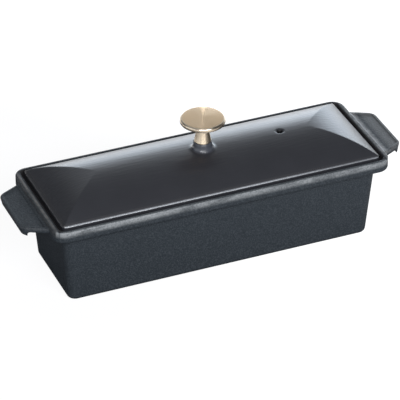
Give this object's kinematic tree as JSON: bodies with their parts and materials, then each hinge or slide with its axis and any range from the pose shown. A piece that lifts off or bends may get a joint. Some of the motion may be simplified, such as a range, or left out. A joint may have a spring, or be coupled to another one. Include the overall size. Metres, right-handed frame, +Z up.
{
  "type": "terrine dish",
  "caption": "Long rectangular cast-iron terrine dish with drafted walls, a flat grip tab at each end, and a domed lid with a turned metal knob that drops into a rebate inside the thick rim.",
  "frame": {"origin": "middle of the foot, on the surface the dish stands on", "axes": "+X along the length towards the tab nearest the steam vent, +Y across the dish, +Z up"},
  "size_m": [0.342, 0.107, 0.1235],
  "materials": {
    "dish_enamel": "matt black enamel with a fine pebbled surface",
    "lid_enamel": "satin black enamel",
    "knob_brass": "turned top face with a polished edge and neck",
    "screw_steel": "plain machined"
  },
  "bodies": {
    "root": {"dish": "dish_enamel", "lid": "lid_enamel", "knob": "knob_brass", "knob_screw": "screw_steel"}
  },
  "joints": []
}
